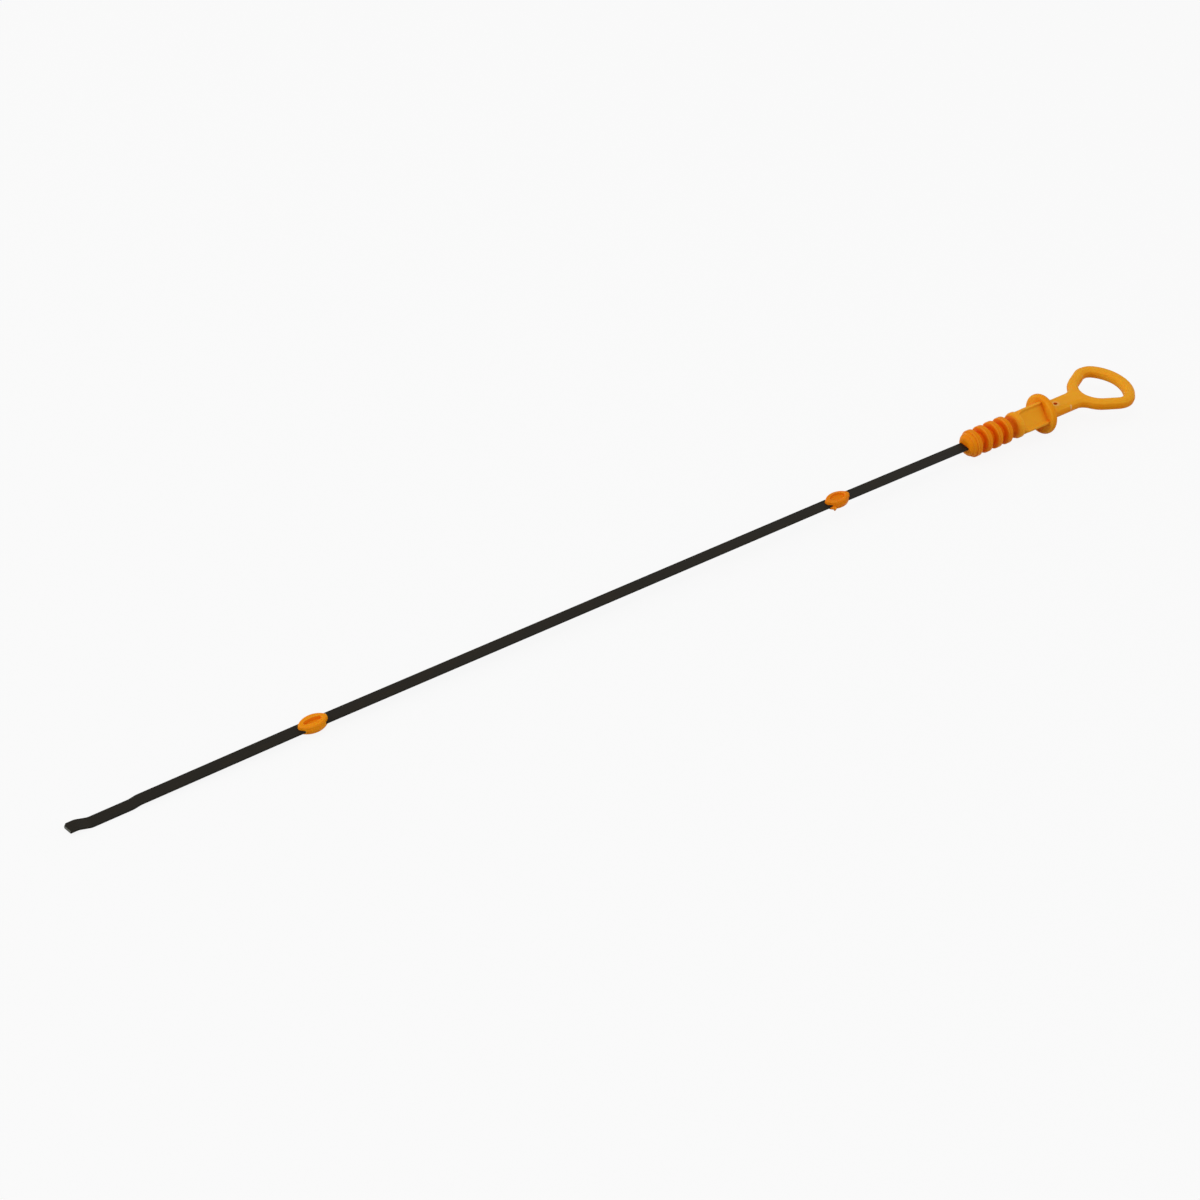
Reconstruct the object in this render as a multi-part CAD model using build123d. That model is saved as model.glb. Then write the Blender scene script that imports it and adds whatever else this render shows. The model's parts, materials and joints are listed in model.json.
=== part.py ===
from build123d import *
import math
import os

# Engine oil dipstick, lying on a flat surface. All sizes are in millimetres.
# The pieces are drawn along X with the flange's seat face at X = 0, the blade's tip towards -X and the
# finger loop towards +X. At the end all of them are laid down together, the way the dipstick comes to rest.

# Blade: a flat steel strip, with a shallow crank near the tip that marks the range of the oil level
blade_width = 4.9
blade_thickness = 0.9
blade_reach = 442.4        # seat face to tip
blade_droop = 1.3          # how far the blade's end hangs below its line, beyond the lower bead
blade_bow = 0.4            # how far the blade stands above its line at the upper bead
soft_bend_radius = 150.0   # of the blade's bends at the beads and at the handle
tip_apex = 1.2             # far edge of the blade to the point of the tip
tip_back = 0.95            # how far the two corners of the tip are cut back
crank_from_tip = 4.0       # tip to the first bend of the crank
crank_length = 22.6        # first bend to last bend
crank_drop = 0.6           # how far the crank lies below the blade
crank_ramp = 2.8           # length of the slope down to the crank
tip_rise = 1.6             # how far the tip lies above the crank
tip_ramp = 4.5             # length of the slope up to the tip
bend_radius = 4.0          # of every bend of the crank, to the strip's middle
tang_cover = 3.0           # blade left beyond the locating hole, inside the neck

# Plug: domed nose, seal ribs, collar and ribbed root in front of the flange
nose_length = 2.5          # to the flat end that the blade comes out of
nose_drop = 0.6            # how much lower the nose is than the ribs
nose_step = 0.4            # plain shoulder between the nose and the first rib
nose_ring = 1.1            # length of the sloping ring behind the dome
nose_ring_drop = 0.45      # how far the ring falls towards the dome
nose_lip = 0.25            # step from the ring down to the dome
nose_bow = 0.35            # how far the dome bulges
nose_margin = 0.5          # the blade's edge to the edge of the flat end
rib_radius = 6.0
rib_land = 2.4
rib_bevel = 0.35
rib_count = 4
groove_width = 3.2         # at the ribs' edges
groove_depth = 2.6
groove_lean = 0.35         # how far each side of a groove leans, along the axis
collar_length = 3.5
collar_ease = 0.2          # how much lower the collar is than the ribs
collar_slope = 2.0         # length of the collar's front, which has two slopes
collar_drop = 2.2          # how far the foot of that front lies below the ribs
collar_knee = 0.65         # length of its steep slope
collar_knee_drop = 0.85    # how far the top of the steep slope lies below the ribs
root_length = 12.8         # collar to seat face
web_thickness = 1.1
web_reach = 1.0            # how far the four webs stand out past the ribs
panel_drop = 1.65          # how much lower the four flats between the webs are than the ribs

# Flange, whose front face is the seat
flange_radius = 9.1
flange_thickness = 3.0
flange_crown = 0.9         # how far the rounded rim bulges

# Neck and finger loop, one flat bar that is widest at its mould's parting line, halfway up
mould_draft = 12.0         # lean of the sides of the bar and of the beads, in degrees
neck_width = 9.2
neck_fillet = 5.0          # where the neck runs into the loop
bar_width = 5.0
bar_height = 4.7
bar_bevel = 0.9
loop_corner_x = 37.7       # seat face to the centres of the loop's two corners
loop_corner_y = 7.2        # axis to those centres
loop_corner_radius = 6.2   # to the bar's middle line
loop_throat_radius = 11.0  # the end of the loop at the neck, to the bar's middle line
loop_side_angle = 28.0     # each side of the loop to the axis, in degrees
loop_bulge = 2.9           # how far the far bar bows out past the corners
locating_hole = 1.7        # diameter, through the neck and the blade's tang
locating_hole_x = 9.2      # seat face to the hole

# Guide beads, shaped like small boats and moulded round the blade
bead_length = 12.0
bead_width = 7.5
bead_height = 3.8
bead_end_radius = 2.0      # of the rounded ends, seen from above
bead_bevel = 0.35
hollow_length = 7.4
hollow_end_radius = 1.0
hollow_draft = 25.0        # lean of the hollows' sides, in degrees
upper_hollow_width = 4.6
upper_hollow_depth = 0.8
lower_hollow_width = 2.9
lower_hollow_depth = 1.2
upper_bead_x = -109.6
lower_bead_x = -348.1

# Scrap of plastic on a shoulder of the upper bead, where its mould was filled, and the end of the gate under it
stub_length = 3.0
stub_width = 1.4
stub_height = 1.2
stub_bevel = 0.3
stub_turn = 45.0           # turned out from the blade, in degrees
stub_from_end = 1.85       # the bead's end to the stub's middle
stub_sink = 1.0            # the bead's widest line to the stub's middle
stub_drop = 0.6            # the blade's middle plane to the stub's middle
nub_radius = 0.4
nub_reach = 0.5            # how far the gate's end stands out below the stub
nub_from_end = 0.7         # the stub's outer end to the gate's middle

# Places that follow from the sizes above
collar_front = -root_length - collar_length
rib_pitch = rib_land + groove_width
first_rib_front = collar_front - rib_count * rib_pitch
nose_base = first_rib_front - nose_step
nose_tip = nose_base - nose_length
nose_radius = rib_radius - nose_drop
nose_end_radius = blade_width / 2 + nose_margin
groove_radius = rib_radius - groove_depth
collar_radius = rib_radius - collar_ease
web_radius = rib_radius + web_reach
core_flat = rib_radius - panel_drop
tang_end = locating_hole_x + locating_hole / 2 + tang_cover


def droop(x):
    """How far the blade's middle lies below its line at a place beyond the lower bead."""
    return blade_droop * max(lower_bead_x - x, 0) / (lower_bead_x + blade_reach)


def blade_line():
    """The blade's middle line in the XZ plane, from the uncut tip to the end of the tang."""
    low_end = -blade_reach + crank_from_tip
    high_end = low_end + crank_length
    steps = [
        (-blade_reach - tip_back, tip_rise - crank_drop),
        (low_end, tip_rise - crank_drop),
        (low_end + tip_ramp, -crank_drop),
        (high_end - crank_ramp, -crank_drop),
        (high_end, 0),
        (lower_bead_x, 0),
        (upper_bead_x, blade_bow),
        (nose_tip, 0),
        (tang_end, 0),
    ]
    points = [(x, 0, z - droop(x)) for x, z in steps]
    return FilletPolyline(points, radius=[bend_radius] * 4 + [soft_bend_radius] * 3)


def make_blade():
    """The strip, bent along its line, with its tip cut to a blunt point and the tang's locating hole."""
    line = blade_line()
    section = Plane(origin=line @ 0, x_dir=(0, 1, 0), z_dir=line % 0) * Rectangle(blade_width, blade_thickness)
    strip = sweep(section, path=line)
    side = blade_width / 2
    offcut = Polyline(
        (-blade_reach + tip_back, side),
        (-blade_reach, side - tip_apex),
        (-blade_reach + tip_back, -side),
        (-blade_reach - 2 * tip_back, -side),
        (-blade_reach - 2 * tip_back, side),
        close=True,
    )
    strip -= extrude(make_face(offcut), amount=blade_droop + tip_rise + blade_thickness, both=True)
    return strip - locating_cutter()


def locating_cutter():
    """The hole of the mould pin that held the tang, through the neck from top to bottom."""
    return Pos(locating_hole_x, 0, 0) * Cylinder(locating_hole / 2, 2 * bar_height)


def plug_profile():
    """Half of the plug's and the flange's section, axis along X and radius along Y."""
    ring_front = nose_base - nose_ring
    ring_radius = nose_radius - nose_ring_drop
    points = [
        (ring_front, ring_radius - nose_lip),
        (ring_front, ring_radius),
        (nose_base, nose_radius),
        (first_rib_front, nose_radius),
    ]
    for index in range(rib_count):
        front = first_rib_front + index * rib_pitch
        rear = front + rib_land
        points += [
            (front, rib_radius - rib_bevel),
            (front + rib_bevel, rib_radius),
            (rear - rib_bevel, rib_radius),
            (rear, rib_radius - rib_bevel),
            (rear + groove_lean, groove_radius),
            (rear + groove_width - groove_lean, groove_radius),
        ]
    rim_foot = flange_radius - flange_crown
    points += [
        (collar_front, rib_radius - collar_drop),
        (collar_front + collar_knee, rib_radius - collar_knee_drop),
        (collar_front + collar_slope, collar_radius),
        (-root_length, collar_radius),
        (-root_length + web_reach, web_radius),
        (0, web_radius),
        (0, rim_foot),
    ]
    outline = Polyline(*points)
    rim = SagittaArc(outline @ 1, (flange_thickness, rim_foot), flange_crown)
    back = Polyline(rim @ 1, (flange_thickness, 0), (nose_tip, 0), (nose_tip, nose_end_radius))
    dome = SagittaArc(back @ 1, outline @ 0, nose_bow)
    return make_face([dome, *outline.edges(), rim, *back.edges()])


def near(value, target, tolerance=1e-4):
    """Whether two sizes are the same."""
    return abs(value - target) < tolerance


def make_root_pockets():
    """The four pockets that leave a square core and four webs between the collar and the flange."""
    wall = web_thickness / 2
    foot = core_flat * math.sqrt(2) - wall
    outside = 2 * web_radius
    corner = Polyline((wall, foot), (wall, outside), (outside, outside), (outside, wall), (foot, wall), close=True)
    pocket = extrude(Plane.YZ.offset(-root_length) * make_face(corner), amount=root_length)
    pair = pocket + mirror(pocket, about=Plane.XZ)
    return pair + mirror(pair, about=Plane.XY)


def loop_outline(offset):
    """The loop's outline at a distance from the bar's middle line: outwards is positive."""
    corner = loop_corner_radius + offset
    throat = loop_throat_radius + offset
    side = loop_side_angle
    sine, cosine = math.sin(math.radians(side)), math.cos(math.radians(side))
    # The two sides of the middle line meet on the axis here, and the throat's arc touches both
    meeting_x = loop_corner_x - (cosine * loop_corner_y + loop_corner_radius) / sine
    throat_x = meeting_x + loop_throat_radius / sine
    # The far bar's arc touches both corners and bows out past them
    reach = loop_corner_radius + loop_bulge
    far = (loop_corner_y**2 + reach**2 - loop_corner_radius**2) / (2 * loop_bulge)
    far_x = loop_corner_x + reach - far
    turn = math.degrees(math.atan2(loop_corner_y, loop_corner_x - far_x))
    normal = 90 + side
    arcs = [
        CenterArc((loop_corner_x, loop_corner_y), corner, turn, normal - turn),
        CenterArc((throat_x, 0), throat, normal, 2 * (180 - normal)),
        CenterArc((loop_corner_x, -loop_corner_y), corner, -normal, normal - turn),
        CenterArc((far_x, 0), far + offset, -turn, 2 * turn),
    ]
    sides = [Line(arcs[0] @ 1, arcs[1] @ 0), Line(arcs[1] @ 1, arcs[2] @ 0)]
    return make_face([*arcs, *sides]), throat_x


def make_neck_and_loop():
    """The flat bar that runs from inside the flange round the finger hole, drafted both ways from its middle."""
    outer, throat_x = loop_outline(bar_width / 2)
    hole, _ = loop_outline(-bar_width / 2)
    start = flange_thickness / 2
    neck_end = throat_x - loop_throat_radius
    neck = Pos((start + neck_end) / 2, 0) * Rectangle(neck_end - start, neck_width)
    plan = neck + outer
    joins = [v for v in plan.vertices() if near(abs(v.Y), neck_width / 2) and v.X > flange_thickness]
    plan = fillet(joins, neck_fillet) - hole
    half = extrude(plan, amount=bar_height / 2, taper=mould_draft)
    half = chamfer(half.faces().sort_by(Axis.Z)[-1].edges(), bar_bevel)
    return half + mirror(half, about=Plane.XY)


def make_handle(blade):
    """The one-piece moulding: plug, flange, neck and loop, formed round the blade's tang."""
    plug = revolve(plug_profile(), Axis.X) - make_root_pockets()
    return plug + make_neck_and_loop() - locating_cutter() - blade


def oval(length, width, end_radius):
    """A long oval of four arcs: two wide ones for the sides and two for the ends, each touching the next."""
    end_x = length / 2 - end_radius
    rise = width / 2 - end_radius
    side_y = (end_x**2 - rise**2) / (2 * rise)
    side_radius = width / 2 + side_y
    turn = math.degrees(math.atan2(side_y, end_x))
    arcs = [
        CenterArc((end_x, 0), end_radius, -turn, 2 * turn),
        CenterArc((0, -side_y), side_radius, turn, 180 - 2 * turn),
        CenterArc((-end_x, 0), end_radius, 180 - turn, 2 * turn),
        CenterArc((0, side_y), side_radius, 180 + turn, 180 - 2 * turn),
    ]
    return make_face(arcs)


def make_hollow(width, depth):
    """The hollow in a bead's flat top, which narrows towards its floor."""
    top = Plane(origin=(0, 0, bead_height / 2), x_dir=(1, 0, 0), z_dir=(0, 0, -1))
    return extrude(top * oval(hollow_length, width, hollow_end_radius), amount=depth, taper=hollow_draft)


def make_bead(hollow, scraps=()):
    """A bead in its own place, drafted both ways from its middle, with a hollow in its top."""
    half = extrude(oval(bead_length, bead_width, bead_end_radius), amount=bead_height / 2, taper=mould_draft)
    half = chamfer(half.faces().sort_by(Axis.Z)[-1].edges(), bead_bevel)
    bead = half + mirror(half, about=Plane.XY) - hollow
    for scrap in scraps:
        bead += scrap
    return bead


def make_gate_stub():
    """The scrap of plastic with the broken end of the gate, in the place that it has on its bead."""
    block = chamfer(Box(stub_length, stub_width, stub_height).edges(), stub_bevel)
    nub_foot = -stub_height / 2 - nub_reach
    nub_middle = Pos(stub_length / 2 - nub_from_end, 0, nub_foot / 2)
    stub = block + nub_middle * Cylinder(nub_radius, -nub_foot)
    middle = Pos(stub_from_end - bead_length / 2, stub_sink - bead_width / 2, -stub_drop)
    return middle * Rot(0, 0, -stub_turn) * stub


def lay_down(shapes):
    """Turn all pieces together until the flange's rim and the crank touch the surface, then centre them."""
    crank_low_x = -blade_reach + crank_from_tip + tip_ramp
    crank_bottom = crank_drop + droop(crank_low_x) + blade_thickness / 2
    tilt = math.degrees(math.atan2(flange_radius - crank_bottom, flange_thickness / 2 - crank_low_x))
    turned = [Rot(0, -tilt, 0) * shape for shape in shapes]
    box = Compound(turned).bounding_box()
    middle = box.center()
    return [Pos(-middle.X, -middle.Y, -box.min.Z) * shape for shape in turned]


def main():
    blade = make_blade()
    upper_bead = make_bead(make_hollow(upper_hollow_width, upper_hollow_depth), [make_gate_stub()])
    lower_bead = make_bead(make_hollow(lower_hollow_width, lower_hollow_depth))
    pieces = {
        "blade": blade,
        "handle": make_handle(blade),
        "upper_guide_bead": Pos(upper_bead_x, 0, blade_bow) * upper_bead - blade,
        "lower_guide_bead": Pos(lower_bead_x, 0, 0) * lower_bead - blade,
    }
    os.makedirs("parts", exist_ok=True)
    for name, shape in zip(pieces, lay_down(list(pieces.values()))):
        export_step(shape, f"parts/{name}.step")


main()
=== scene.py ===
"""An engine oil dipstick lying on a pale floor: the finishes of its pieces, the light and the view."""

import json
import logging
import math
from dataclasses import dataclass
from enum import Enum
from typing import NamedTuple, Protocol

import bmesh
import bpy
from mathutils import Matrix, Vector


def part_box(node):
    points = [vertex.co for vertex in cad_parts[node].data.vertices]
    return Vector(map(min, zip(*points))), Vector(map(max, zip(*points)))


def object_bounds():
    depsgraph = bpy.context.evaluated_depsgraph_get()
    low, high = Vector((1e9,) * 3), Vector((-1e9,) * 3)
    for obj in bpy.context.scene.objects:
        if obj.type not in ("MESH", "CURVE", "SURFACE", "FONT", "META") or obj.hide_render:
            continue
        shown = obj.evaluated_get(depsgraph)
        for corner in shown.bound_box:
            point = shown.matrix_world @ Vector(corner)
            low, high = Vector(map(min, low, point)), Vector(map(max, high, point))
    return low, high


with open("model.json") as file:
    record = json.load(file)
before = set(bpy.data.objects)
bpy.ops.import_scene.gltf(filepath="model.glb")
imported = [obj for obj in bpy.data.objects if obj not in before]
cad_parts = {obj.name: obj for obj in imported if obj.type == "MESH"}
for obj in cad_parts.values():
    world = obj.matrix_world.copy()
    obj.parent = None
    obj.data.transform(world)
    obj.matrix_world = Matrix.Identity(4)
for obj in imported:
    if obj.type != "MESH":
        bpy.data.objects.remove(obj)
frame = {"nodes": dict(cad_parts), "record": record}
cad_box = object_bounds()

log = logging.getLogger("dipstick")
Colour = tuple[float, float, float]
Triple = tuple[float, float, float]
Range = tuple[float, float]
Socket = bpy.types.NodeSocket
Sockets = bpy.types.bpy_prop_collection
Source = Socket | float | Triple
MM = 0.001
WHITE: Colour = (1.0, 1.0, 1.0)
# Stretches of the surface point: as it is, without its height, and without its place along the dipstick
UNSTRETCHED: Triple = (1.0, 1.0, 1.0)
IN_PLAN: Triple = (1.0, 1.0, 0.0)
END_ON: Triple = (0.0, 1.0, 1.0)


class Slot(Enum):
    """The record's material slots."""

    ORANGE_MOULDING = "orange_moulding"
    DARK_STRIP = "dark_strip"


class Mount(Enum):
    """The record's mounts that places are taken from."""

    SEAL_PLUG = "seal_plug"
    SEAT_FACE = "seat_face"

    def entry(self) -> dict:
        """The mount's entry in the record."""
        return next(mount for mount in frame["record"]["mounts"] if mount["name"] == self.value)


class Effect(Enum):
    """The shared surface effects, by the names of their node groups."""

    MOTTLE = "mottle"
    GRAIN = "fine_grain"
    ROUNDED_EDGES = "rounded_edges"


class NodeSheet:
    """A node tree that is written node by node."""

    SKY_SAMPLES = 16
    # Where a Mix node keeps its colours among its sockets
    FIRST_COLOUR = 6
    SECOND_COLOUR = 7
    MIXED_COLOUR = 2

    def __init__(self, tree: bpy.types.NodeTree) -> None:
        """Start on an emptied tree.

        Args:
            tree: the node tree of a material, world or node group.
        """
        self.tree = tree
        tree.nodes.clear()

    def add(self, kind: str, inputs: dict[str, Source] | None = None, **settings: object) -> bpy.types.Node:
        """Add a node, set its properties and feed its inputs.

        Args:
            kind: the node's type name.
            inputs: values or sockets, by the names of the inputs that they feed.
            settings: the node's own properties.

        Returns:
            The new node.
        """
        node = self.tree.nodes.new(kind)
        for name, value in settings.items():
            setattr(node, name, value)
        for name, source in (inputs or {}).items():
            self.feed(node.inputs[name], source)
        return node

    def feed(self, socket: Socket, source: Source) -> None:
        """Link a socket to an input, or set the input's own value.

        Args:
            socket: the input.
            source: another node's output, or a value.
        """
        if isinstance(source, Socket):
            self.tree.links.new(source, socket)
        elif isinstance(source, tuple) and socket.type == "RGBA":
            socket.default_value = (*source, 1.0)
        else:
            socket.default_value = source

    def show(self, shader: Socket, output: str = "ShaderNodeOutputMaterial") -> None:
        """Put a shader on the surface."""
        self.add(output, {"Surface": shader})

    def split(self, vector: Socket) -> Sockets:
        """A vector's X, Y and Z."""
        return self.add("ShaderNodeSeparateXYZ", {"Vector": vector}).outputs

    def object_point(self, stretch: Triple = UNSTRETCHED) -> Socket:
        """The surface point in the row frame.

        Args:
            stretch: how much it is stretched along each axis.

        Returns:
            The stretched point.
        """
        point = self.add("ShaderNodeTexCoord").outputs["Object"]
        if stretch == UNSTRETCHED:
            return point
        return self.add("ShaderNodeMapping", {"Vector": point, "Scale": stretch}).outputs["Vector"]

    def noise(self, point: Socket, scale: Source, detail: float = 3.0, rough: float = 0.55) -> Socket:
        """A noise value from 0 to 1.

        Args:
            point: the socket that gives the place.
            scale: waves to a metre.
            detail: how many finer layers are added.
            rough: how strong the finer layers are.

        Returns:
            The noise's value.
        """
        inputs = {"Vector": point, "Scale": scale, "Detail": detail, "Roughness": rough}
        return self.add("ShaderNodeTexNoise", inputs).outputs[0]

    def spread(
        self, value: Socket, low: Source, high: Source, start: Source = 0.0, end: Source = 1.0
    ) -> Socket:
        """Map a value smoothly from one range to another.

        Args:
            value: the value's socket.
            low: the value that gives start.
            high: the value that gives end. It may be less than low.
            start: the result at low and on its far side from high.
            end: the result at high and on its far side from low.

        Returns:
            The mapped value.
        """
        inputs = {"Value": value, "From Min": low, "From Max": high, "To Min": start, "To Max": end}
        return self.add("ShaderNodeMapRange", inputs, interpolation_type="SMOOTHSTEP").outputs["Result"]

    def combine(self, operation: str, first: Source, second: Source = 0.0) -> Socket:
        """Work out one step of arithmetic.

        Args:
            operation: the Math node's name for the step.
            first: the first value.
            second: the second value, where the step has one.

        Returns:
            The result.
        """
        node = self.add("ShaderNodeMath", operation=operation)
        self.feed(node.inputs[0], first)
        self.feed(node.inputs[1], second)
        return node.outputs[0]

    def plus(self, first: Source, second: Source) -> Socket:
        """The sum of two values."""
        return self.combine("ADD", first, second)

    def minus(self, first: Source, second: Source) -> Socket:
        """The first value less the second."""
        return self.combine("SUBTRACT", first, second)

    def times(self, first: Source, second: Source) -> Socket:
        """The product of two values."""
        return self.combine("MULTIPLY", first, second)

    def larger(self, first: Source, second: Source) -> Socket:
        """The larger of two values."""
        return self.combine("MAXIMUM", first, second)

    def below(self, value: Socket, limit: float) -> Socket:
        """1 where a value is under a limit, and 0 elsewhere."""
        return self.combine("LESS_THAN", value, limit)

    def above(self, value: Socket, limit: float) -> Socket:
        """1 where a value is over a limit, and 0 elsewhere."""
        return self.combine("GREATER_THAN", value, limit)

    def gap(self, value: Socket, target: float) -> Socket:
        """How far a value lies from a target, to either side."""
        return self.combine("ABSOLUTE", self.minus(value, target))

    def measure(self, operation: str, first: Source, second: Source) -> Socket:
        """Work out one number from two vectors.

        Args:
            operation: the Vector Math node's name for the step.
            first: the first vector.
            second: the second vector.

        Returns:
            The number.
        """
        node = self.add("ShaderNodeVectorMath", operation=operation)
        self.feed(node.inputs[0], first)
        self.feed(node.inputs[1], second)
        return node.outputs["Value"]

    def distance(self, stretch: Triple, target: Triple) -> Socket:
        """How far the stretched surface point lies from a target."""
        return self.measure("DISTANCE", self.object_point(stretch), target)

    def open_sky(self, reach: float) -> Socket:
        """How little stands over the surface within a reach, from 0 to 1."""
        inputs = {"Distance": reach}
        return self.add("ShaderNodeAmbientOcclusion", inputs, samples=self.SKY_SAMPLES).outputs["AO"]

    def blend(self, share: Source, first: Source, second: Source) -> Socket:
        """Mix two colours.

        Args:
            share: how much of the second colour there is.
            first: the colour at 0.
            second: the colour at 1.

        Returns:
            The mixed colour.
        """
        node = self.add("ShaderNodeMix", {"Factor": share}, data_type="RGBA")
        self.feed(node.inputs[self.FIRST_COLOUR], first)
        self.feed(node.inputs[self.SECOND_COLOUR], second)
        return node.outputs[self.MIXED_COLOUR]


def new_material(name: str) -> tuple[bpy.types.Material, NodeSheet]:
    """Start a material.

    Args:
        name: the material's name.

    Returns:
        The material and its empty node sheet.
    """
    material = bpy.data.materials.new(name)
    material.use_nodes = True
    return material, NodeSheet(material.node_tree)


class GroupParts(NamedTuple):
    """A node group that has been started: its sheet, what it is given and what it results in."""

    sheet: NodeSheet
    given: Sockets
    result: Sockets


class SurfaceEffects:
    """Effects that several finishes share, each built once as a node group."""

    NOISE_MIDDLE = 0.5
    WAVES_TO_GRAIN = 0.12
    EDGE_SAMPLES = 8

    def __init__(self) -> None:
        """Build all the groups."""
        self.groups = {
            Effect.MOTTLE: self._mottle(),
            Effect.GRAIN: self._grain(),
            Effect.ROUNDED_EDGES: self._rounded_edges(),
        }

    def place(self, sheet: NodeSheet, effect: Effect, **inputs: Source) -> Sockets:
        """Put an effect into a material.

        Args:
            sheet: the material's node sheet.
            effect: which effect.
            inputs: the group's inputs, by name.

        Returns:
            The effect's outputs, by name.
        """
        return sheet.add("ShaderNodeGroup", inputs, node_tree=self.groups[effect]).outputs

    @staticmethod
    def _start(effect: Effect, inputs: dict[str, float], outputs: dict[str, str]) -> GroupParts:
        """Start a node group.

        Args:
            effect: the effect, which names the group.
            inputs: the inputs' names and starting values.
            outputs: the outputs' names and kinds of socket.

        Returns:
            The parts of the group.
        """
        tree = bpy.data.node_groups.new(effect.value, "ShaderNodeTree")
        sheet = NodeSheet(tree)
        for name, value in inputs.items():
            socket = tree.interface.new_socket(name, in_out="INPUT", socket_type="NodeSocketFloat")
            socket.default_value = value
        for name, kind in outputs.items():
            tree.interface.new_socket(name, in_out="OUTPUT", socket_type=kind)
        return GroupParts(sheet, sheet.add("NodeGroupInput").outputs, sheet.add("NodeGroupOutput").inputs)

    def _mottle(self) -> bpy.types.NodeTree:
        """Soft clouds of a lighter and a darker tone.

        Returns:
            The group.
        """
        inputs = {"Scale": 100.0, "Contrast": 0.3}
        sheet, given, result = self._start(Effect.MOTTLE, inputs, {"Value": "NodeSocketFloat"})
        clouds = sheet.noise(sheet.object_point(), given["Scale"], detail=4.0, rough=0.6)
        low = sheet.minus(self.NOISE_MIDDLE, given["Contrast"])
        high = sheet.plus(self.NOISE_MIDDLE, given["Contrast"])
        sheet.feed(result["Value"], sheet.spread(clouds, low, high))
        return sheet.tree

    def _grain(self) -> bpy.types.NodeTree:
        """The height of a fine even grain with a few larger waves.

        Returns:
            The group.
        """
        inputs = {"Scale": 3000.0, "Waves": 0.4}
        sheet, given, result = self._start(Effect.GRAIN, inputs, {"Height": "NodeSocketFloat"})
        point = sheet.object_point()
        fine = sheet.noise(point, given["Scale"], detail=2.0)
        wave_scale = sheet.times(given["Scale"], self.WAVES_TO_GRAIN)
        waves = sheet.times(sheet.noise(point, wave_scale, detail=2.0), given["Waves"])
        sheet.feed(result["Height"], sheet.plus(fine, waves))
        return sheet.tree

    def _rounded_edges(self) -> bpy.types.NodeTree:
        """The normal of a surface with rounded edges, and its flatness: 1 away from edges and less by one.

        Returns:
            The group.
        """
        outputs = {"Normal": "NodeSocketVector", "Flatness": "NodeSocketFloat"}
        sheet, given, result = self._start(Effect.ROUNDED_EDGES, {"Width": 0.5 * MM}, outputs)
        edges = sheet.add("ShaderNodeBevel", {"Radius": given["Width"]}, samples=self.EDGE_SAMPLES)
        rounded = edges.outputs["Normal"]
        plain = sheet.add("ShaderNodeNewGeometry").outputs["Normal"]
        sheet.feed(result["Normal"], rounded)
        sheet.feed(result["Flatness"], sheet.measure("DOT_PRODUCT", rounded, plain))
        return sheet.tree


@dataclass(frozen=True)
class HandlePlaces:
    """Where the handle's seal plug and seat lie in the row frame."""

    plug_x: float
    plug_z: float
    half_plug: float
    seat_x: float

    @classmethod
    def from_record(cls) -> "HandlePlaces":
        """Take the places from the record's mounts.

        Returns:
            The places.
        """
        plug = Mount.SEAL_PLUG.entry()
        seat = Mount.SEAT_FACE.entry()
        plug_x, _, plug_z = plug["pos_m"]
        return cls(plug_x, plug_z, plug["dims"]["length_mm"] * MM / 2, seat["pos_m"][0])

    @property
    def plug_start(self) -> float:
        """The front edge of the plug's first rib."""
        return self.plug_x - self.half_plug

    @property
    def plug_end(self) -> float:
        """The back edge of the plug's last rib."""
        return self.plug_x + self.half_plug


class PlasticPoint(NamedTuple):
    """What the layers of the plastic read at the surface point.

    The bar is the neck with the finger loop. The close sky is how little stands right over the point.
    """

    sheet: NodeSheet
    effects: SurfaceEffects
    places: HandlePlaces
    along: Socket
    sideways: Socket
    softened: Socket
    facing: Sockets
    on_bar: Socket
    close_sky: Socket


class Layer(Protocol):
    """A tone that lies over the plastic's own colour."""

    def lay(self, at: PlasticPoint, colour: Socket) -> Socket:
        """Lay the tone over a colour.

        Args:
            at: what is known of the surface point.
            colour: the colour underneath.

        Returns:
            The colour with the tone.
        """


@dataclass(frozen=True)
class PaintedSideShade(Layer):
    """Painted shade: a deeper orange on the sides of the bar, and on the flange's rim and its front by the
    root, where less light falls.
    """

    tone: Colour = (0.84, 0.270, 0.002)
    bar_facing_sideways: Range = (0.3, 0.8)
    bar_facing_up: Range = (0.65, 0.0)
    flange_width: float = 3.0 * MM
    flange_margin: float = 0.3 * MM
    flange_share: float = 0.8
    rim_facing_along: Range = (-0.8, -0.4)
    root_half_width: float = 4.5 * MM

    def lay(self, at: PlasticPoint, colour: Socket) -> Socket:
        """Lay the painted shade over a colour.

        Args:
            at: what is known of the surface point.
            colour: the colour underneath.

        Returns:
            The colour with the painted shade.
        """
        sheet = at.sheet
        # Painted shade: faces turned sideways, the flange's rim and its front by the root take the deeper
        # tone for the light they lack
        to_side = sheet.spread(sheet.gap(at.facing["Y"], 0.0), *self.bar_facing_sideways)
        not_up = sheet.spread(at.facing["Z"], *self.bar_facing_up)
        bar = sheet.times(sheet.times(to_side, not_up), at.on_bar)
        half_flange = self.flange_width / 2
        from_flange = sheet.gap(at.along, at.places.seat_x + half_flange)
        in_flange = sheet.below(from_flange, half_flange + self.flange_margin)
        rim = sheet.spread(at.facing["X"], *self.rim_facing_along)
        off_middle = sheet.gap(at.sideways, 0.0)
        by_root = sheet.spread(off_middle, self.root_half_width, self.root_half_width / 2)
        flange = sheet.times(sheet.larger(rim, by_root), self.flange_share)
        return sheet.blend(sheet.larger(bar, sheet.times(in_flange, flange)), colour, self.tone)


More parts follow.
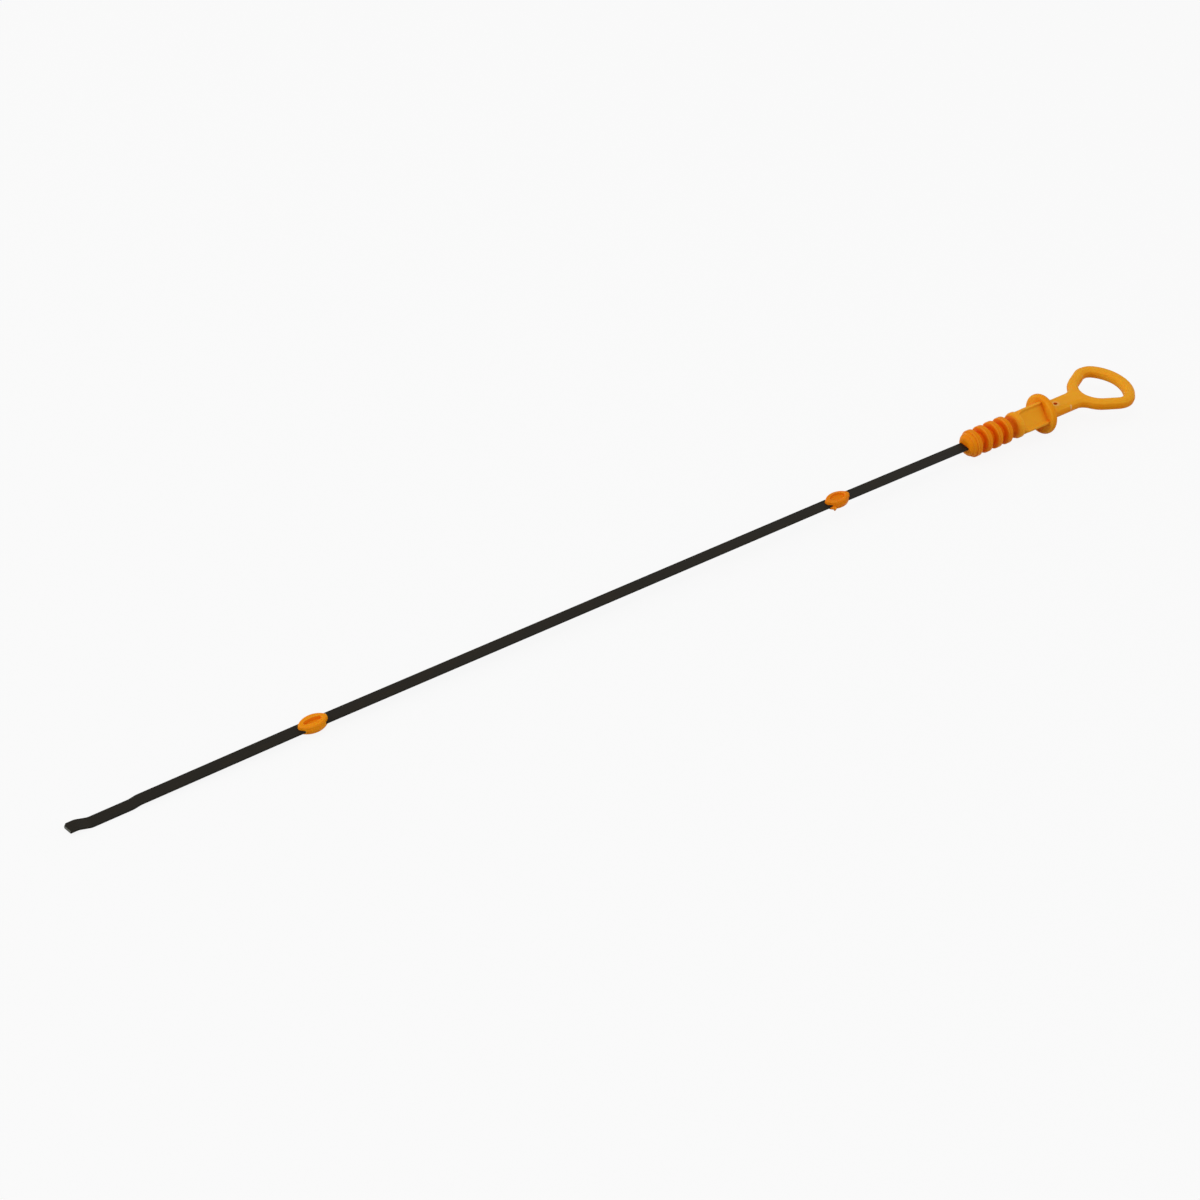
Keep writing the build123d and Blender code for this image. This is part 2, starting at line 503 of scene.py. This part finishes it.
@dataclass(frozen=True)
class HandleMarks(Layer):
    """The pale ring where the mould's pin stood in the neck, and a small pale streak on the neck's near
    side.
    """

    ring_tone: Colour = (0.95, 0.46, 0.12)
    streak_tone: Colour = (0.85, 0.55, 0.32)
    pin_from_seat: float = 9.2 * MM
    ring_inner: float = 1.1 * MM
    ring_outer: float = 2.4 * MM
    ring_share: float = 0.7
    streak_from_seat: float = 14.6 * MM
    streak_height: float = 10.4 * MM
    streak_side: float = -3.7 * MM
    streak_half_width: float = 0.6 * MM
    streak_slimness: float = 0.25
    streak_share: float = 0.75

    def lay(self, at: PlasticPoint, colour: Socket) -> Socket:
        """Lay the marks over a colour.

        Args:
            at: what is known of the surface point.
            colour: the colour underneath.

        Returns:
            The colour with the marks.
        """
        sheet = at.sheet
        seat_x = at.places.seat_x
        from_pin = sheet.distance(IN_PLAN, (seat_x + self.pin_from_seat, 0.0, 0.0))
        ring = sheet.spread(from_pin, self.ring_inner, self.ring_outer, self.ring_share, 0.0)
        # A small pale streak, tall and narrow, on the neck's near side
        middle = (seat_x + self.streak_from_seat, 0.0, self.streak_height * self.streak_slimness)
        from_streak = sheet.distance((1.0, 0.0, self.streak_slimness), middle)
        streak = sheet.spread(from_streak, 0.0, self.streak_half_width, self.streak_share, 0.0)
        near = sheet.below(at.sideways, self.streak_side)
        ringed = sheet.blend(ring, colour, self.ring_tone)
        return sheet.blend(sheet.times(streak, near), ringed, self.streak_tone)


@dataclass(frozen=True)
class OilTone(Layer):
    """The deeper tones of the plug and the beads, which sit in the oily tube."""

    plug: Colour = (0.824, 0.242, 0.002)
    upper_bead: Colour = (0.800, 0.212, 0.001)
    lower_bead: Colour = (0.860, 0.278, 0.003)
    past_plug: float = 1.5 * MM
    fade: float = 5.5 * MM
    seat_to_beads: float = 80.0 * MM
    seat_to_lower_bead: float = 230.0 * MM

    def lay(self, at: PlasticPoint, colour: Socket) -> Socket:
        """Lay the tones over a colour.

        Args:
            at: what is known of the surface point.
            colour: the colour underneath.

        Returns:
            The colour with the tones.
        """
        sheet = at.sheet
        oiled_to = at.places.plug_end + self.past_plug
        oily = sheet.spread(at.along, oiled_to, oiled_to + self.fade, 1.0, 0.0)
        on_beads = sheet.below(at.along, at.places.seat_x - self.seat_to_beads)
        on_lower_bead = sheet.below(at.along, at.places.seat_x - self.seat_to_lower_bead)
        plug_or_upper = sheet.blend(on_beads, self.plug, self.upper_bead)
        return sheet.blend(oily, colour, sheet.blend(on_lower_bead, plug_or_upper, self.lower_bead))


@dataclass(frozen=True)
class RibShadeLines(Layer):
    """A fine dark line round each seal rib, just behind its front edge: painted shade of a small step that
    the shape does not have.
    """

    tone: Colour = (0.72, 0.150, 0.000)
    share: float = 0.7
    pitch: float = 5.6 * MM
    from_front: float = 0.25 * MM
    half_width: float = 0.4 * MM
    least_radius: float = 5.6 * MM

    def lay(self, at: PlasticPoint, colour: Socket) -> Socket:
        """Lay the lines over a colour.

        Args:
            at: what is known of the surface point.
            colour: the colour underneath.

        Returns:
            The colour with the lines.
        """
        sheet = at.sheet
        # Painted shade: a dark line where a fine step on each rib would fall into shade
        half_pitch = self.pitch / 2
        first_line = at.places.plug_start + self.from_front
        wave = sheet.combine("PINGPONG", sheet.minus(at.along, first_line - half_pitch), half_pitch)
        line = sheet.spread(wave, half_pitch - self.half_width, half_pitch, 0.0, self.share)
        from_axis = sheet.distance(END_ON, (0.0, 0.0, at.places.plug_z))
        on_rib = sheet.above(from_axis, self.least_radius)
        on_plug = sheet.below(sheet.gap(at.along, at.places.plug_x), at.places.half_plug)
        return sheet.blend(sheet.times(line, sheet.times(on_rib, on_plug)), colour, self.tone)


@dataclass(frozen=True)
class HollowShade(Layer):
    """Painted shade: a deep red tone in the hollows, where little stands open over the surface, fullest on
    the plug and the bar, and in the plug's crevices.
    """

    tone: Colour = (0.82, 0.112, 0.000)
    reach: float = 4.0 * MM
    sky: Range = (0.88, 0.36)
    least_share: float = 0.5
    crevice_sky: Range = (0.95, 0.55)
    crevice_share: float = 0.6
    past_plug: float = 3.0 * MM
    fade: float = 2.0 * MM

    def lay(self, at: PlasticPoint, colour: Socket) -> Socket:
        """Lay the painted shade over a colour.

        Args:
            at: what is known of the surface point.
            colour: the colour underneath.

        Returns:
            The colour with the painted shade.
        """
        sheet = at.sheet
        half_length = at.places.half_plug + self.past_plug
        from_plug = sheet.gap(at.along, at.places.plug_x)
        on_plug = sheet.spread(from_plug, half_length, half_length + self.fade, 1.0, 0.0)
        share = sheet.larger(sheet.larger(on_plug, at.on_bar), self.least_share)
        # Painted shade: the less open sky over a point, the deeper its tone
        hollow = sheet.times(sheet.spread(sheet.open_sky(self.reach), *self.sky), share)
        crevice = sheet.spread(at.close_sky, *self.crevice_sky, 0.0, self.crevice_share)
        return sheet.blend(sheet.larger(hollow, sheet.times(crevice, on_plug)), colour, self.tone)


@dataclass(frozen=True)
class CollarGrooveShade(Layer):
    """Painted shade in the groove in front of the collar, the darkest of the plug's grooves."""

    tone: Colour = (0.64, 0.090, 0.000)
    past_plug: float = 3.0 * MM
    half_width: float = 2.2 * MM
    share: float = 0.8

    def lay(self, at: PlasticPoint, colour: Socket) -> Socket:
        """Lay the painted shade over a colour.

        Args:
            at: what is known of the surface point.
            colour: the colour underneath.

        Returns:
            The colour with the painted shade.
        """
        sheet = at.sheet
        from_middle = sheet.gap(at.along, at.places.plug_end + self.past_plug)
        # Painted shade: the groove in front of the collar is darkened across its width
        groove_shade = sheet.spread(from_middle, 0.0, self.half_width, self.share, 0.0)
        return sheet.blend(groove_shade, colour, self.tone)


@dataclass(frozen=True)
class WornEdgesAndHighlights(Layer):
    """Pale outer edges, where nothing stands over the surface: partly wear, partly a painted highlight
    where the rounded edges catch the light. The bar has none.
    """

    tone: Colour = (0.95, 0.450, 0.060)
    share: float = 0.85
    width: float = 0.4 * MM
    flatness: Range = (0.985, 0.91)
    sky: Range = (0.85, 0.97)

    def lay(self, at: PlasticPoint, colour: Socket) -> Socket:
        """Lay the wear and painted highlight over a colour.

        Args:
            at: what is known of the surface point.
            colour: the colour underneath.

        Returns:
            The colour with the wear and painted highlight.
        """
        sheet = at.sheet
        # Pale outer edges: partly wear, partly a painted highlight where rounded edges catch the light
        flatness = at.effects.place(sheet, Effect.ROUNDED_EDGES, Width=self.width)["Flatness"]
        edge = sheet.spread(flatness, *self.flatness, 0.0, self.share)
        outer_edge = sheet.times(edge, sheet.spread(at.close_sky, *self.sky))
        off_bar = sheet.minus(1.0, at.on_bar)
        return sheet.blend(sheet.times(outer_edge, off_bar), colour, self.tone)


@dataclass(frozen=True)
class MouldedPlastic:
    """Satin orange plastic, a little translucent, with the tones of its wear and oil, and painted shade and
    highlights, in layers.
    """

    name: str = "orange_moulded_plastic"
    body: Colour = (0.86, 0.345, 0.011)
    pale: Colour = (0.87, 0.370, 0.017)
    mottle_scale: float = 160.0
    mottle_contrast: float = 0.28
    layers: tuple[Layer, ...] = (
        PaintedSideShade(),
        HandleMarks(),
        OilTone(),
        RibShadeLines(),
        HollowShade(),
        CollarGrooveShade(),
        WornEdgesAndHighlights(),
    )
    crevice_reach: float = 0.8 * MM
    edge_round: float = 0.3 * MM
    bar_round: float = 1.1 * MM
    bar_from_seat: float = 3.0 * MM
    bar_fade: float = 1.0 * MM
    roughness: Range = (0.40, 0.52)
    specular: float = 0.06
    glow_depth: float = 1.0 * MM
    glow_share: float = 0.2
    glow_ratio: Colour = (1.0, 0.25, 0.06)
    grain_scale: float = 3500.0
    grain_waves: float = 0.5
    grain_strength: float = 0.25
    grain_depth: float = 0.05 * MM

    def _point(self, sheet: NodeSheet, effects: SurfaceEffects) -> PlasticPoint:
        """Gather what the layers read.

        Args:
            sheet: the material's node sheet.
            effects: the shared surface effects.

        Returns:
            What is known of the surface point.
        """
        places = HandlePlaces.from_record()
        point = sheet.split(sheet.object_point())
        bar_x = places.seat_x + self.bar_from_seat
        on_bar = sheet.spread(point["X"], bar_x, bar_x + self.bar_fade)
        edge_round = sheet.spread(on_bar, 0.0, 1.0, self.edge_round, self.bar_round)
        softened = effects.place(sheet, Effect.ROUNDED_EDGES, Width=edge_round)["Normal"]
        return PlasticPoint(
            sheet=sheet,
            effects=effects,
            places=places,
            along=point["X"],
            sideways=point["Y"],
            softened=softened,
            facing=sheet.split(softened),
            on_bar=on_bar,
            close_sky=sheet.open_sky(self.crevice_reach),
        )

    def material(self, effects: SurfaceEffects) -> bpy.types.Material:
        """Build the finish.

        Args:
            effects: the shared surface effects.

        Returns:
            The material.
        """
        material, sheet = new_material(self.name)
        at = self._point(sheet, effects)
        mottle = effects.place(sheet, Effect.MOTTLE, Scale=self.mottle_scale, Contrast=self.mottle_contrast)
        colour = sheet.blend(mottle["Value"], self.body, self.pale)
        for layer in self.layers:
            colour = layer.lay(at, colour)
        grain = effects.place(sheet, Effect.GRAIN, Scale=self.grain_scale, Waves=self.grain_waves)
        bump = sheet.add("ShaderNodeBump", {
            "Height": grain["Height"],
            "Strength": self.grain_strength,
            "Distance": self.grain_depth,
            "Normal": at.softened,
        })
        shader = sheet.add("ShaderNodeBsdfPrincipled", {
            "Base Color": colour,
            "Roughness": sheet.spread(mottle["Value"], 0.0, 1.0, *self.roughness),
            "Normal": bump.outputs["Normal"],
            "Specular IOR Level": self.specular,
            "Subsurface Weight": self.glow_share,
            "Subsurface Radius": self.glow_ratio,
            "Subsurface Scale": self.glow_depth,
        })
        sheet.show(shader.outputs["BSDF"])
        return material


@dataclass(frozen=True)
class CoatedStrip:
    """Thin dark coat on rolled steel, with faint lines along it and a bare edge where its tip was cut."""

    name: str = "dark_coated_steel"
    brown: Colour = (0.0178, 0.0130, 0.0070)
    black: Colour = (0.0110, 0.0092, 0.0060)
    mottle_scale: float = 110.0
    mottle_contrast: float = 0.25
    line_stretch: Triple = (12.0, 900.0, 900.0)
    line_tones: Range = (0.25, 0.75)
    line_height: float = 0.8
    bare_steel: Colour = (0.200, 0.210, 0.170)
    bare_width: float = 0.6 * MM
    bare_length: float = 2.2 * MM
    bare_fade: float = 0.4 * MM
    cut_facing_along: Range = (-0.10, -0.35)
    top_facing_up: Range = (0.5, 0.9)
    roughness: Range = (0.42, 0.58)
    rough_lines: Range = (0.2, 0.8)
    specular: float = 0.09
    grain_scale: float = 2600.0
    grain_waves: float = 0.7
    grain_strength: float = 0.3
    grain_depth: float = 0.03 * MM

    def _bare_edge(self, sheet: NodeSheet, effects: SurfaceEffects, tip_x: float) -> Socket:
        """A mask of the top's edge where the tip was cut.

        Args:
            sheet: the material's node sheet.
            effects: the shared surface effects.
            tip_x: where the strip ends.

        Returns:
            The mask.
        """
        rounded = effects.place(sheet, Effect.ROUNDED_EDGES, Width=self.bare_width)["Normal"]
        cut_edge = sheet.spread(sheet.split(rounded)["X"], *self.cut_facing_along)
        own_facing = sheet.split(sheet.add("ShaderNodeTexCoord").outputs["Normal"])
        on_top = sheet.spread(own_facing["Z"], *self.top_facing_up)
        bare_to = tip_x + self.bare_length
        along = sheet.split(sheet.object_point())["X"]
        at_tip = sheet.spread(along, bare_to + self.bare_fade, bare_to)
        return sheet.times(cut_edge, sheet.times(on_top, at_tip))

    def material(self, effects: SurfaceEffects, tip_x: float) -> bpy.types.Material:
        """Build the finish.

        Args:
            effects: the shared surface effects.
            tip_x: where the strip ends.

        Returns:
            The material.
        """
        material, sheet = new_material(self.name)
        mottle = effects.place(sheet, Effect.MOTTLE, Scale=self.mottle_scale, Contrast=self.mottle_contrast)
        # The stretch sets how fine the lines are, so the noise has no scale of its own
        lines = sheet.noise(sheet.object_point(self.line_stretch), scale=1.0)
        tone = sheet.times(mottle["Value"], sheet.spread(lines, *self.line_tones))
        coat = sheet.blend(tone, self.black, self.brown)
        grain = effects.place(sheet, Effect.GRAIN, Scale=self.grain_scale, Waves=self.grain_waves)
        bump = sheet.add("ShaderNodeBump", {
            "Height": sheet.plus(grain["Height"], sheet.times(lines, self.line_height)),
            "Strength": self.grain_strength,
            "Distance": self.grain_depth,
        })
        shader = sheet.add("ShaderNodeBsdfPrincipled", {
            "Base Color": sheet.blend(self._bare_edge(sheet, effects, tip_x), coat, self.bare_steel),
            "Roughness": sheet.spread(lines, *self.rough_lines, *self.roughness),
            "Normal": bump.outputs["Normal"],
            "Specular IOR Level": self.specular,
        })
        sheet.show(shader.outputs["BSDF"])
        return material


def dress(node: str, material: bpy.types.Material) -> bpy.types.Object:
    """Give a CAD node its finish.

    Args:
        node: the node's name.
        material: the finish.

    Returns:
        The node's object.
    """
    piece = frame["nodes"][node]
    piece.data.materials.clear()
    piece.data.materials.append(material)
    log.info("%s wears %s", node, material.name)
    return piece


@dataclass
class Blade:
    """The dark steel strip."""

    node: str = "blade"

    def dress(self, finish: CoatedStrip, effects: SurfaceEffects) -> None:
        """Give the strip its coat.

        Args:
            finish: the coat.
            effects: the shared surface effects.
        """
        low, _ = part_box(self.node)
        dress(self.node, finish.material(effects, low.x))


@dataclass
class Mouldings:
    """The orange handle and the two guide beads."""

    nodes: tuple[str, ...] = ("handle", "upper_guide_bead", "lower_guide_bead")

    def dress(self, finish: MouldedPlastic, effects: SurfaceEffects) -> None:
        """Give the mouldings their plastic.

        Args:
            finish: the plastic.
            effects: the shared surface effects.
        """
        plastic = finish.material(effects)
        for node in self.nodes:
            dress(node, plastic)


@dataclass(frozen=True)
class PhotoView:
    """The camera of the reference picture, placed by where the seat's centre shows in it."""

    name: str = "photo_view"
    image_px: float = 1200.0
    focal_px: float = 1940.0
    sensor_mm: float = 36.0
    azimuth_deg: float = 32.19
    elevation_deg: float = 42.48
    roll_deg: float = -2.20
    seat_u_px: float = 1038.72
    seat_v_px: float = 414.87
    px_per_m_at_seat: float = 2305.1
    clip_near: float = 0.05
    clip_far: float = 50.0

    @staticmethod
    def _seat() -> tuple[Vector, Vector]:
        """Where the plug's axis meets the seat face.

        Returns:
            That point, and the direction from it along the axis to the finger loop.
        """
        plug = Mount.SEAL_PLUG.entry()
        to_tip = Vector(plug["axis"]).normalized()
        middle = Vector(plug["pos_m"])
        to_seat = Vector(Mount.SEAT_FACE.entry()["pos_m"]) - middle
        return middle + to_tip * to_seat.dot(to_tip), -to_tip

    def _directions(self, along: Vector) -> tuple[Vector, Vector, Vector]:
        """Which way the view looks.

        Args:
            along: the direction along the plug's axis to the finger loop.

        Returns:
            The directions to the picture's right, down it, and ahead into it.
        """
        turn = math.radians(self.azimuth_deg)
        drop = math.radians(self.elevation_deg)
        roll = math.radians(self.roll_deg)
        across = Vector((0.0, 1.0, 0.0))
        above = along.cross(across)
        rolled_across = across * math.cos(roll) - above * math.sin(roll)
        rolled_above = across * math.sin(roll) + above * math.cos(roll)
        right = along * math.cos(turn) - rolled_across * math.sin(turn)
        level = along * math.sin(turn) + rolled_across * math.cos(turn)
        ahead = level * math.cos(drop) - rolled_above * math.sin(drop)
        return right, ahead.cross(right), ahead

    def build(self) -> None:
        """Make the camera and set it as the scene's."""
        seat, along = self._seat()
        right, down, ahead = self._directions(along)
        middle_px = self.image_px / 2
        eye = seat - right * ((self.seat_u_px - middle_px) / self.px_per_m_at_seat)
        eye -= down * ((self.seat_v_px - middle_px) / self.px_per_m_at_seat)
        eye -= ahead * (self.focal_px / self.px_per_m_at_seat)
        data = bpy.data.cameras.new(self.name)
        data.sensor_width = self.sensor_mm
        data.lens = self.sensor_mm * self.focal_px / self.image_px
        data.clip_start = self.clip_near
        data.clip_end = self.clip_far
        camera = bpy.data.objects.new(self.name, data)
        turned = Matrix((right, -down, -ahead)).transposed().to_4x4()
        camera.matrix_world = Matrix.Translation(eye) @ turned
        bpy.context.scene.collection.objects.link(camera)
        bpy.context.scene.camera = camera


@dataclass(frozen=True)
class SoftLamp:
    """A large square lamp that points at the dipstick's middle."""

    name: str
    place: Triple
    width: float
    watts: float

    def build(self, target: Vector) -> None:
        """Hang the lamp.

        Args:
            target: the point that it faces.
        """
        data = bpy.data.lights.new(self.name, "AREA")
        data.size = self.width
        data.energy = self.watts
        lamp = bpy.data.objects.new(self.name, data)
        lamp.location = self.place
        lamp.rotation_mode = "QUATERNION"
        lamp.rotation_quaternion = (target - lamp.location).to_track_quat("-Z", "Y")
        bpy.context.scene.collection.objects.link(lamp)


@dataclass(frozen=True)
class Studio:
    """A pale floor, a white surround and soft lamps."""

    floor_width: float = 8.0
    floor_colour: Colour = (0.62, 0.62, 0.62)
    floor_glow: float = 0.90
    surround_light: float = 0.50
    lamps: tuple[SoftLamp, ...] = (
        SoftLamp("key_lamp", place=(-0.3, -0.2, 1.7), width=1.4, watts=8.3),
        SoftLamp("near_lamp", place=(1.4, -1.9, 0.9), width=1.6, watts=6.7),
        SoftLamp("tip_side_lamp", place=(-2.6, 1.4, 1.2), width=1.8, watts=31.0),
    )

    @staticmethod
    def _seen(sheet: NodeSheet) -> Socket:
        """A mask of the rays that see the surroundings directly, in a mirror or through glass.

        Args:
            sheet: the node sheet of the floor or the world.

        Returns:
            The mask.
        """
        path = sheet.add("ShaderNodeLightPath").outputs
        mirrored = sheet.larger(path["Is Glossy Ray"], path["Is Transmission Ray"])
        return sheet.larger(path["Is Camera Ray"], mirrored)

    def _floor_finish(self) -> bpy.types.Material:
        """A matt floor that glows white where it is seen, so that it is pale and keeps its shadow.

        Returns:
            The material.
        """
        material, sheet = new_material("pale_floor")
        matt = sheet.add("ShaderNodeBsdfDiffuse", {"Color": self.floor_colour})
        glow = sheet.add("ShaderNodeEmission", {"Color": WHITE, "Strength": 1.0})
        mix = sheet.add("ShaderNodeMixShader", {"Fac": sheet.times(self._seen(sheet), self.floor_glow)})
        sheet.feed(mix.inputs[1], matt.outputs["BSDF"])
        sheet.feed(mix.inputs[2], glow.outputs["Emission"])
        sheet.show(mix.outputs["Shader"])
        return material

    def _floor(self) -> None:
        """Lay the floor under the dipstick, at the height of the row's origin."""
        shape = bmesh.new()
        bmesh.ops.create_grid(shape, x_segments=1, y_segments=1, size=self.floor_width / 2)
        mesh = bpy.data.meshes.new("floor")
        shape.to_mesh(mesh)
        shape.free()
        floor = bpy.data.objects.new("floor", mesh)
        bpy.context.scene.collection.objects.link(floor)
        mesh.materials.append(self._floor_finish())

    def _surround(self) -> None:
        """Make the world: white where it is seen, softer where it lights."""
        world = bpy.data.worlds.new("white_surround")
        world.use_nodes = True
        sheet = NodeSheet(world.node_tree)
        strength = sheet.spread(self._seen(sheet), 0.0, 1.0, self.surround_light, 1.0)
        back = sheet.add("ShaderNodeBackground", {"Color": WHITE, "Strength": strength})
        sheet.show(back.outputs["Background"], "ShaderNodeOutputWorld")
        bpy.context.scene.world = world

    def build(self) -> None:
        """Make the floor, the surround and the lamps."""
        self._floor()
        self._surround()
        low, high = cad_box
        for lamp in self.lamps:
            lamp.build((low + high) / 2)
        bpy.context.scene.view_settings.view_transform = "Standard"


def main() -> None:
    """Dress the dipstick, light it and set the view."""
    logging.basicConfig(level=logging.INFO, format="%(name)s: %(message)s")
    effects = SurfaceEffects()
    Blade().dress(CoatedStrip(), effects)
    Mouldings().dress(MouldedPlastic(), effects)
    Studio().build()
    PhotoView().build()


if __name__ == "__main__":
    main()
